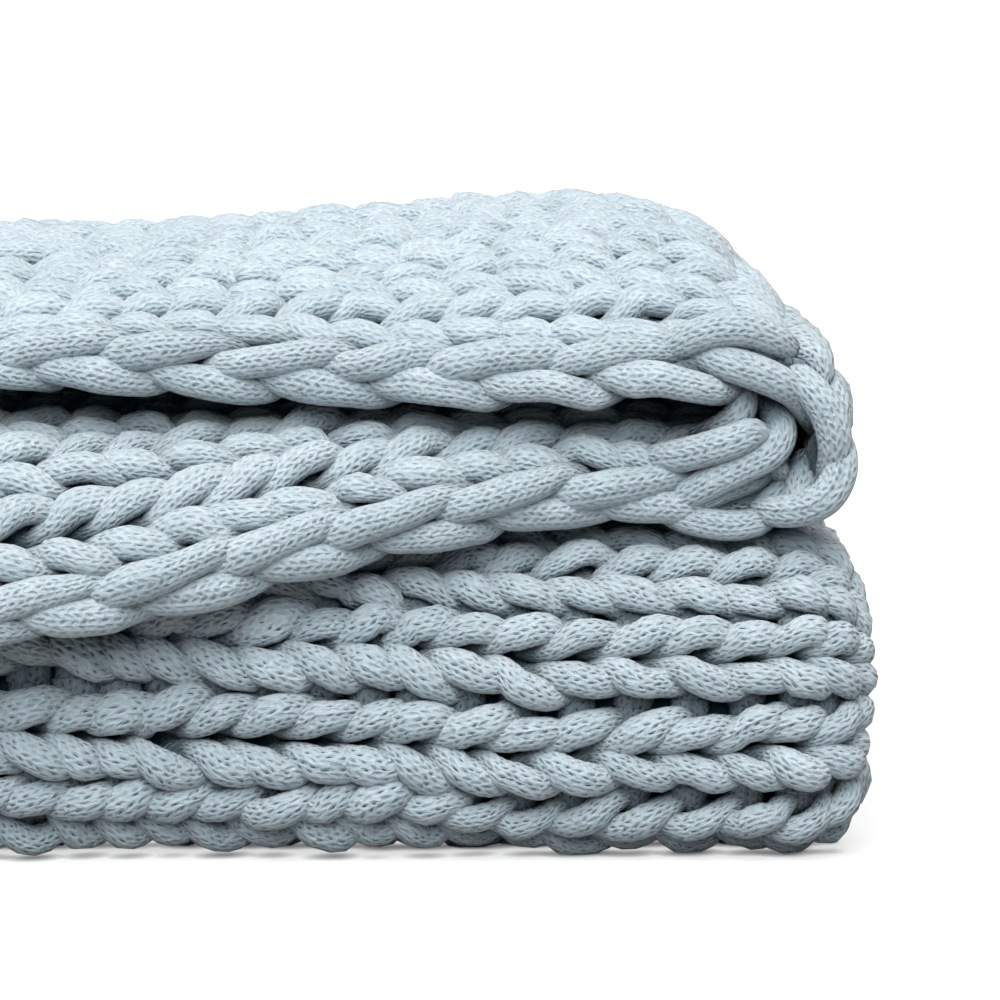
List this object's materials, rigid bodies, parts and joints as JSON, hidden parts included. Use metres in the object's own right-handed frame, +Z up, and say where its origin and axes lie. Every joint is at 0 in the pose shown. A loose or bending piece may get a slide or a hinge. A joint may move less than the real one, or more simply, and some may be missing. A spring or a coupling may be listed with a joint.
{
  "type": "folded chunky knit throw",
  "caption": "Folded chunky rib-knit throw with a round front fold, a closed right-hand end and a drooping top edge, for a shelf, bed or basket.",
  "frame": {"origin": "middle of the underside, on the surface that the folded throw lies on", "axes": "+X along the ribs towards the closed end fold, -Y towards the front fold and the free side edges, +Z up"},
  "size_m": [0.7606, 0.4442, 0.1598],
  "materials": {
    "knit_yarn": "soft matt knitted tube yarn, pale blue-grey"
  },
  "bodies": {
    "root": {"throw": "knit_yarn"}
  },
  "joints": []
}
